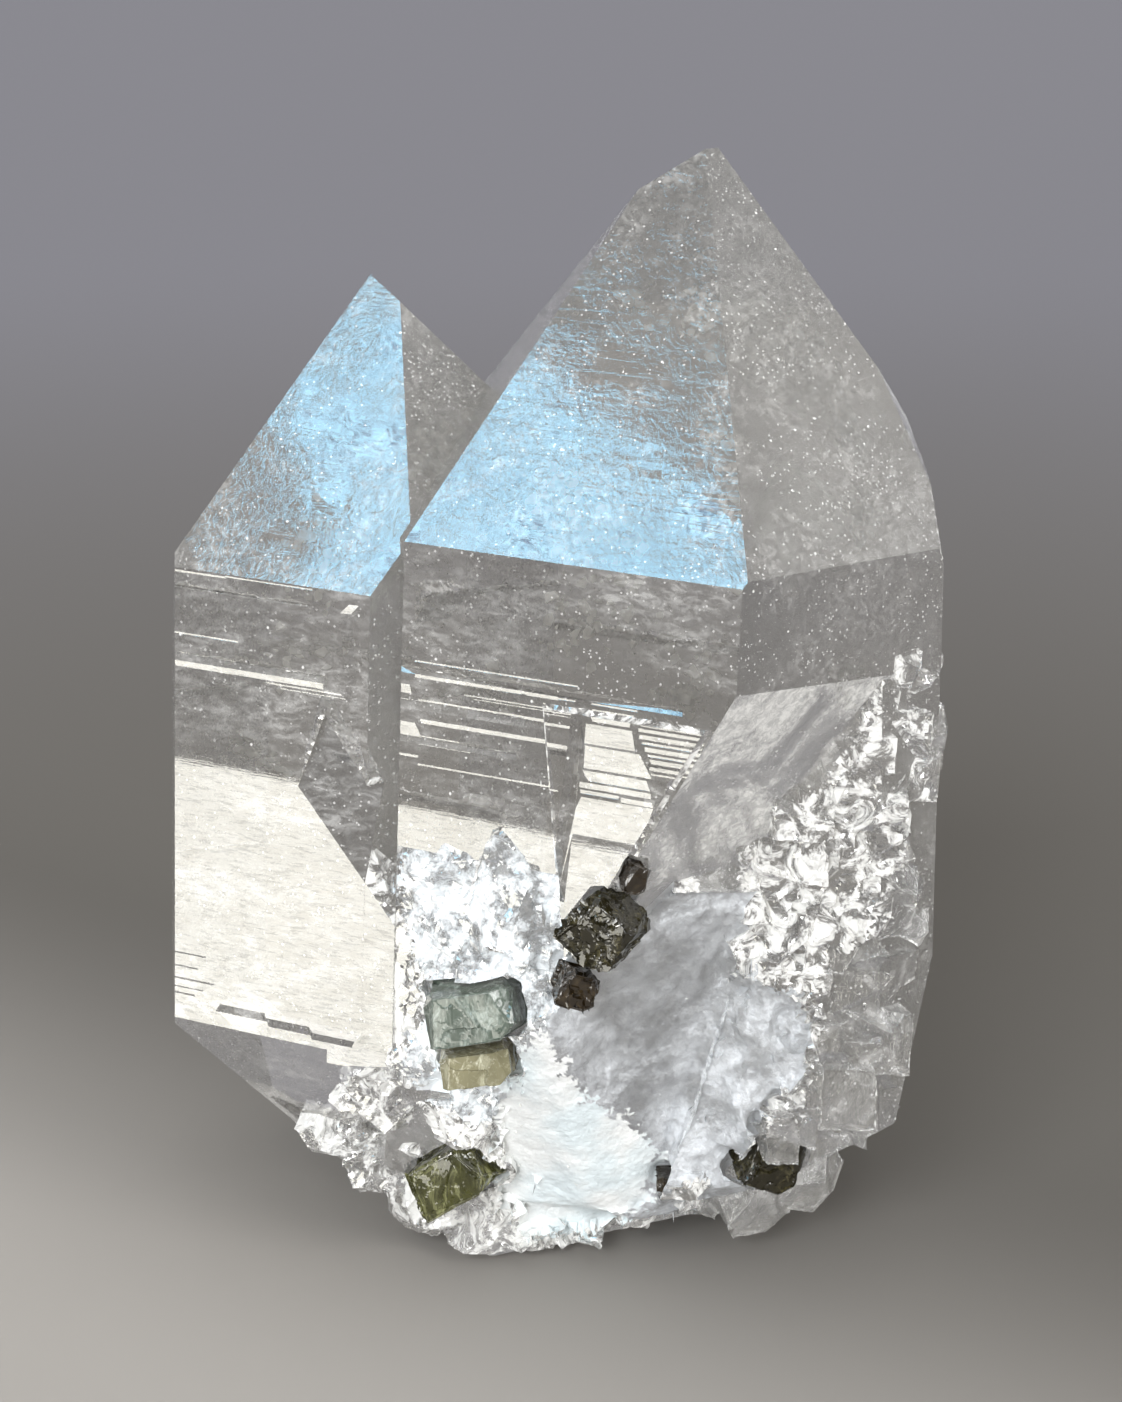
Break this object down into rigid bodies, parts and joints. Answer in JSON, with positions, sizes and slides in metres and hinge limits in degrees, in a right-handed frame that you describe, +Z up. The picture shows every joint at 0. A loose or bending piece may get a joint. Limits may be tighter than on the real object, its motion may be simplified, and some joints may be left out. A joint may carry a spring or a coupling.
{
  "type": "twin quartz crystal",
  "caption": "Two clear quartz crystals grown together on a broken, lumpy foot, with small olive crystals set in the front; stands on its flat base.",
  "frame": {"origin": "middle of the specimen's outline, at the height of the flat base", "axes": "+Z up along the crystals, +X to the taller crystal's side, -Y towards the front with the set-in olive crystals"},
  "size_m": [0.0492, 0.0372, 0.0692],
  "materials": {
    "quartz": "clear, glossy faces with fine growth lines; frosted and broken at the foot",
    "dark_olive": "glassy dark olive brown",
    "grey_green": "satin grey green",
    "olive_beige": "satin olive beige",
    "olive_green": "glassy olive green"
  },
  "bodies": {
    "root": {"quartz_twin": "quartz", "olive_crystal_tip": "dark_olive", "olive_crystal_large": "dark_olive", "olive_crystal_lower": "dark_olive", "olive_crystal_right": "dark_olive", "brown_flake": "dark_olive", "grey_green_block": "grey_green", "olive_beige_block": "olive_beige", "olive_green_crystal": "olive_green"}
  },
  "joints": []
}
